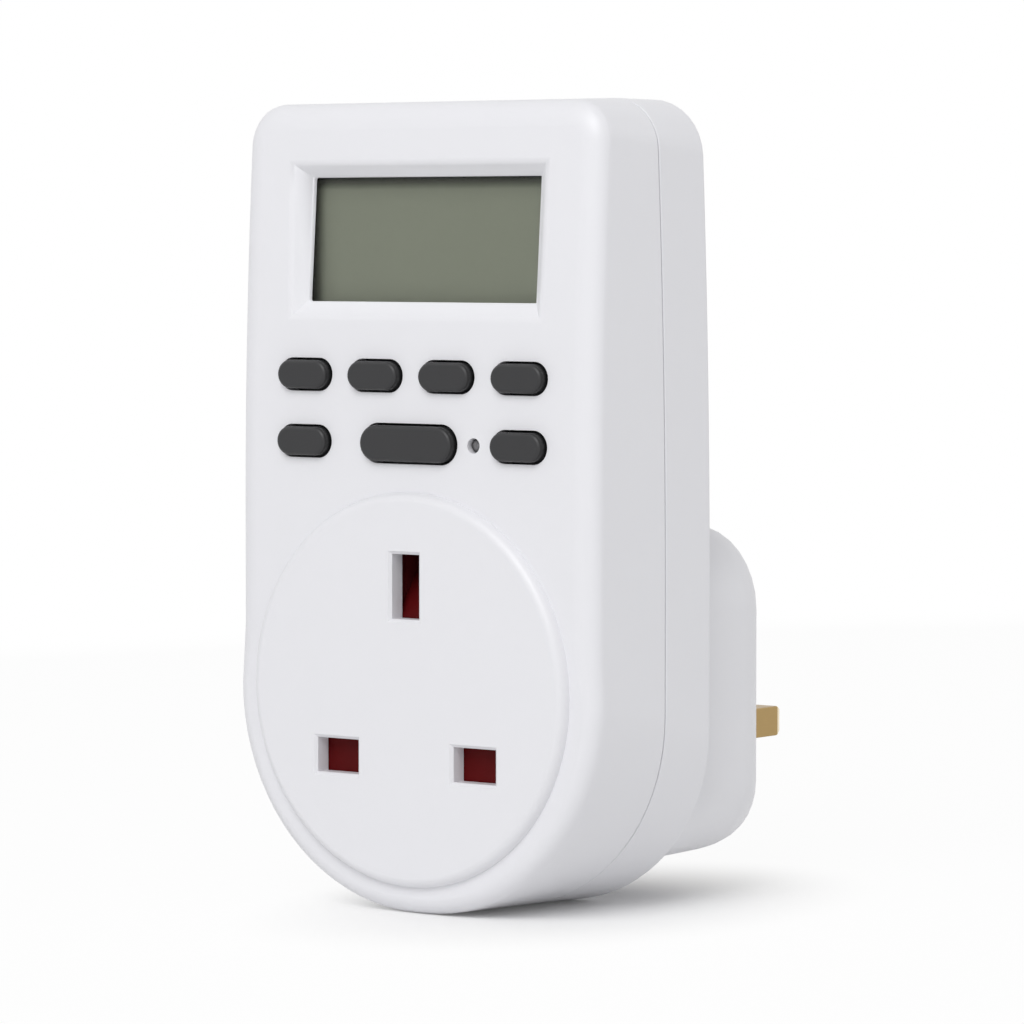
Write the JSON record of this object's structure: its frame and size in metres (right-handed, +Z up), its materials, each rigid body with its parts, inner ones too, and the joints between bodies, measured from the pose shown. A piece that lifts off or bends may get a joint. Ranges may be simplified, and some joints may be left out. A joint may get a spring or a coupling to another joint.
{
  "type": "plug-in timer switch",
  "caption": "White plug-in digital timer with a display and grey keys above a shuttered three-pin socket, and a three-pin plug behind.",
  "frame": {"origin": "on the flat plug face, on the centre line, at the height of the live and neutral plug pins", "axes": "+Y along the plug pins toward the wall, +Z up along the case, +X to the right as seen from the socket face"},
  "size_m": [0.0584, 0.0685, 0.104],
  "materials": {
    "case": "satin",
    "lens": "polished",
    "display": "satin",
    "holder": "matte",
    "rubber": "matte",
    "keys": "satin",
    "board": "satin",
    "black_plastic": "matte",
    "steel": "satin",
    "lamp": "satin",
    "capacitor_film": "satin",
    "capacitor_sleeve": "satin",
    "ceramic": "matte",
    "shutter": "satin",
    "carrier": "satin",
    "retainer": "matte",
    "brass": "satin",
    "sleeve": "satin",
    "strap": "satin"
  },
  "bodies": {
    "case": {"front_case": "case", "rear_case": "case", "display_lens": "lens", "lcd_panel": "display", "lcd_holder": "holder", "zebra_strips": "rubber", "key_mat": "rubber", "display_board": "board", "controller_chip": "black_plastic", "crystal": "steel", "backup_cell": "steel", "status_lamp": "lamp", "small_screws": "steel", "power_board": "board", "relay": "black_plastic", "film_capacitor": "capacitor_film", "electrolytic_capacitor": "capacitor_sleeve", "rectifier_diodes": "black_plastic", "dropper_resistor": "ceramic", "board_link": "black_plastic", "shutter_springs": "steel", "contact_carrier": "carrier", "live_contact": "brass", "neutral_contact": "brass", "earth_contact": "brass", "live_pin": "brass", "neutral_pin": "brass", "earth_pin": "brass", "live_sleeve": "sleeve", "neutral_sleeve": "sleeve", "pin_retainer": "retainer", "live_strap": "strap", "switched_strap": "strap", "neutral_strap": "strap", "earth_strap": "strap", "case_screws": "steel"},
    "key_upper_1_body": {"key_upper_1": "keys"},
    "key_upper_2_body": {"key_upper_2": "keys"},
    "key_upper_3_body": {"key_upper_3": "keys"},
    "key_upper_4_body": {"key_upper_4": "keys"},
    "key_lower_left_body": {"key_lower_left": "keys"},
    "key_wide_body": {"key_wide": "keys"},
    "key_lower_right_body": {"key_lower_right": "keys"},
    "shutter_body": {"shutter": "shutter"}
  },
  "joints": [
    {"name": "key_upper_1_press", "type": "slide", "parent": "case", "child": "key_upper_1_body", "axis": [0, 1, 0], "range_m": [0, 0.0008], "stiffness_N_per_m": 400, "springref_m": -0.0005},
    {"name": "key_upper_2_press", "type": "slide", "parent": "case", "child": "key_upper_2_body", "axis": [0, 1, 0], "range_m": [0, 0.0008], "stiffness_N_per_m": 400, "springref_m": -0.0005},
    {"name": "key_upper_3_press", "type": "slide", "parent": "case", "child": "key_upper_3_body", "axis": [0, 1, 0], "range_m": [0, 0.0008], "stiffness_N_per_m": 400, "springref_m": -0.0005},
    {"name": "key_upper_4_press", "type": "slide", "parent": "case", "child": "key_upper_4_body", "axis": [0, 1, 0], "range_m": [0, 0.0008], "stiffness_N_per_m": 400, "springref_m": -0.0005},
    {"name": "key_lower_left_press", "type": "slide", "parent": "case", "child": "key_lower_left_body", "axis": [0, 1, 0], "range_m": [0, 0.0008], "stiffness_N_per_m": 400, "springref_m": -0.0005},
    {"name": "key_wide_press", "type": "slide", "parent": "case", "child": "key_wide_body", "axis": [0, 1, 0], "range_m": [0, 0.0008], "stiffness_N_per_m": 400, "springref_m": -0.0005},
    {"name": "key_lower_right_press", "type": "slide", "parent": "case", "child": "key_lower_right_body", "axis": [0, 1, 0], "range_m": [0, 0.0008], "stiffness_N_per_m": 400, "springref_m": -0.0005},
    {"name": "shutter_slide", "type": "slide", "parent": "case", "child": "shutter_body", "axis": [0, 0, -1], "range_m": [0, 0.0086], "stiffness_N_per_m": 60, "springref_m": -0.004, "deforming": ["shutter_springs"]}
  ]
}
